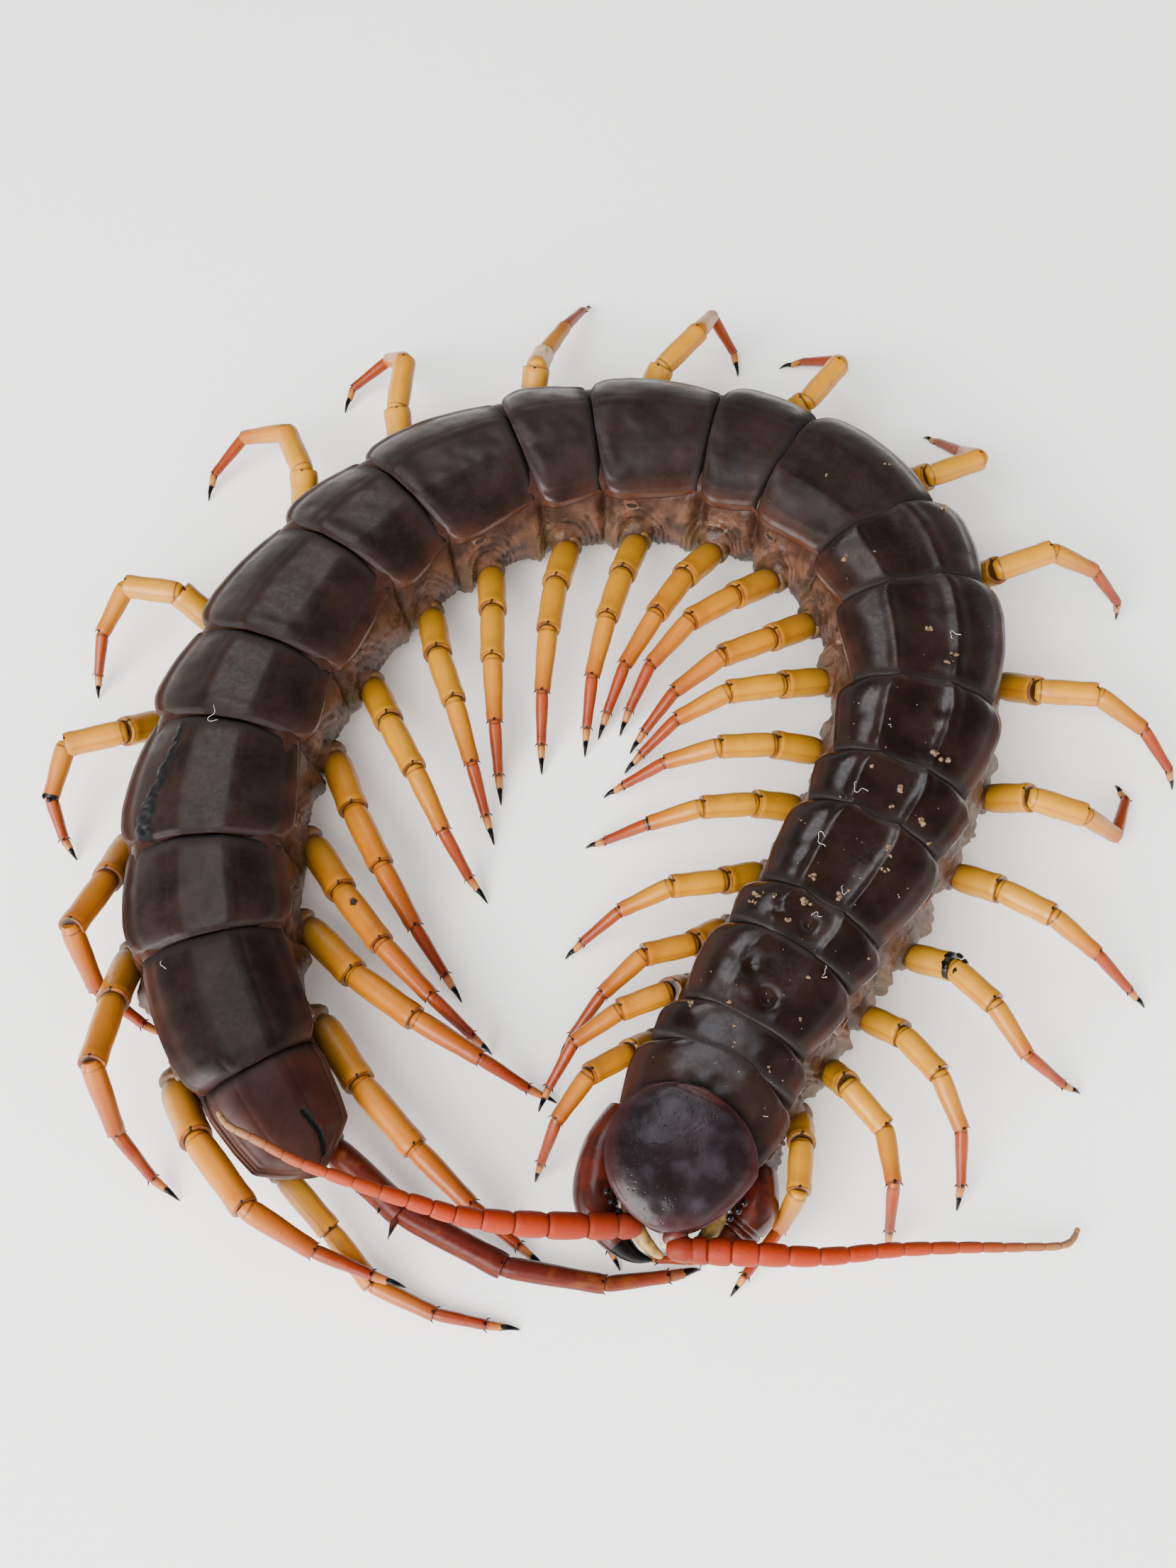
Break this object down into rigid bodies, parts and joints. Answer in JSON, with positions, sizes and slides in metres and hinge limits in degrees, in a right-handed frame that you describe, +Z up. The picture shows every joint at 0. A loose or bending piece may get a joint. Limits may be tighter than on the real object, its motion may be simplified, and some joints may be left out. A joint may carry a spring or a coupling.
{
  "type": "giant centipede",
  "caption": "Life-size giant centipede lying in a horseshoe curve, with overlapping dark back plates, jointed ochre legs, hooked poison claws and long beaded feelers.",
  "frame": {"origin": "middle of the bounding box, on the floor the belly and feet rest on", "axes": "+Z up off the floor; the animal curls like a horseshoe that is open towards -Y, with its head at the -Y, +X end and its tail at the -Y, -X end"},
  "size_m": [0.1004, 0.1102, 0.0125],
  "materials": {
    "dark_chitin": "dark brown horn, satin",
    "head_chitin": "dark purple-brown horn, satin",
    "leg_chitin": "ochre horn, satin",
    "hind_leg_chitin": "dark red horn, satin",
    "antenna_chitin": "orange-red horn with fine hair",
    "forcipule_chitin": "dark red-brown horn, glossy"
  },
  "bodies": {
    "root": {"trunk_1": "dark_chitin", "trunk_2": "dark_chitin", "trunk_3": "dark_chitin", "trunk_4": "dark_chitin", "trunk_5": "dark_chitin", "trunk_6": "dark_chitin", "trunk_7": "dark_chitin", "leg_l_01": "leg_chitin", "leg_r_01": "leg_chitin", "leg_l_02": "leg_chitin", "leg_r_02": "leg_chitin", "leg_l_03": "leg_chitin", "leg_r_03": "leg_chitin", "leg_l_04": "leg_chitin", "leg_r_04": "leg_chitin", "leg_l_05": "leg_chitin", "leg_r_05": "leg_chitin", "leg_l_06": "leg_chitin", "leg_r_06": "leg_chitin", "leg_l_07": "leg_chitin", "leg_r_07": "leg_chitin", "leg_l_08": "leg_chitin", "leg_r_08": "leg_chitin", "leg_l_09": "leg_chitin", "leg_r_09": "leg_chitin", "leg_l_10": "leg_chitin", "leg_r_10": "leg_chitin", "leg_l_11": "leg_chitin", "leg_r_11": "leg_chitin", "leg_l_12": "leg_chitin", "leg_r_12": "leg_chitin", "leg_l_13": "leg_chitin", "leg_r_13": "leg_chitin", "leg_l_14": "leg_chitin", "leg_r_14": "leg_chitin", "leg_l_15": "leg_chitin", "leg_r_15": "leg_chitin", "leg_l_16": "leg_chitin", "leg_r_16": "leg_chitin", "leg_l_17": "leg_chitin", "leg_r_17": "leg_chitin", "leg_l_18": "leg_chitin", "leg_r_18": "leg_chitin", "leg_l_19": "leg_chitin", "leg_r_19": "leg_chitin", "leg_l_20": "leg_chitin", "leg_r_20": "leg_chitin", "leg_l_21": "leg_chitin", "leg_r_21": "hind_leg_chitin", "head": "head_chitin", "forcipular_segment": "forcipule_chitin", "forcipule_l": "forcipule_chitin", "forcipule_r": "forcipule_chitin", "antenna_l": "antenna_chitin", "antenna_r": "antenna_chitin"}
  },
  "joints": []
}
